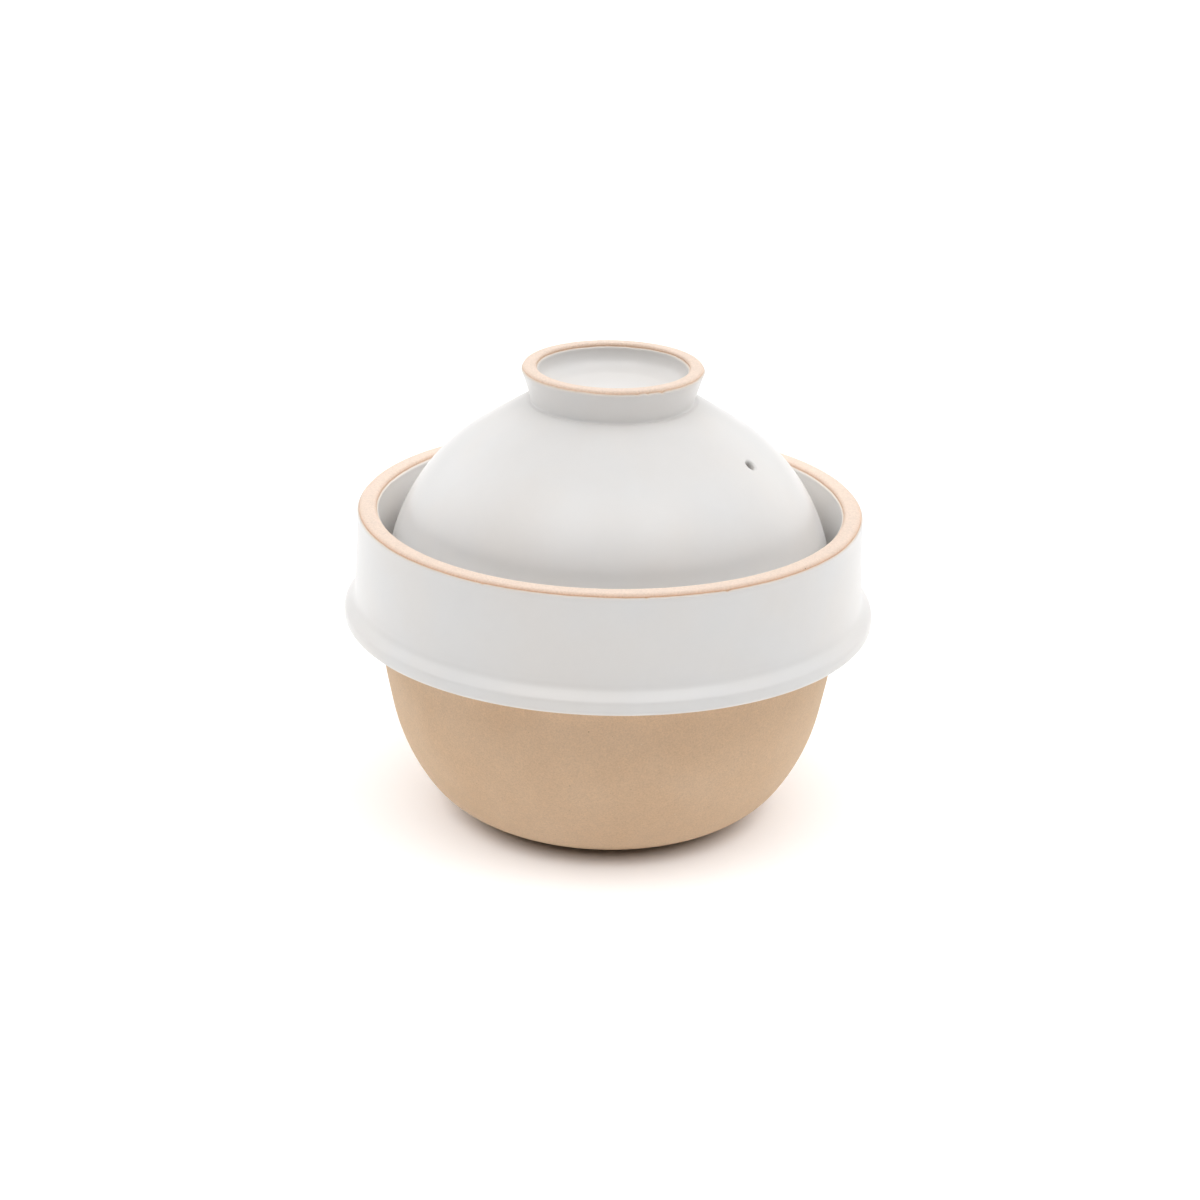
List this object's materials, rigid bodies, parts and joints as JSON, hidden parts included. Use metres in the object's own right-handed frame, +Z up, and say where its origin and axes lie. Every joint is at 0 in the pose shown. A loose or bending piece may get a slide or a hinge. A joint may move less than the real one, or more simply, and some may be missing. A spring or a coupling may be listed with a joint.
{
  "type": "donabe clay pot",
  "caption": "Lidded clay pot for cooking rice: unglazed bowl, straight glazed collar over a flange, and a domed glazed lid with a ring knob that lifts out of the collar.",
  "frame": {"origin": "on the pot's axis, at the level of the foot that it stands on", "axes": "+Z up along the axis of the pot and lid; -Y is the front that the picture shows; +X is to the front's right, the side that the steam hole is on"},
  "size_m": [0.1702, 0.1702, 0.1482],
  "materials": {
    "buff_clay": "unglazed, fine-grained, matt",
    "white_glaze": "satin-matt white glaze"
  },
  "bodies": {
    "pot": {"pot_body": "buff_clay", "pot_outer_glaze": "white_glaze", "collar_inner_glaze": "white_glaze", "bowl_inner_glaze": "white_glaze"},
    "lid": {"lid_dome": "buff_clay", "lid_knob": "buff_clay", "lid_outer_glaze": "white_glaze", "knob_dish_glaze": "white_glaze", "lid_inner_glaze": "white_glaze"}
  },
  "joints": [
    {"name": "lid_lift", "type": "slide", "parent": "pot", "child": "lid", "axis": [0, 0, 1], "range_m": [0, 0.12]}
  ]
}
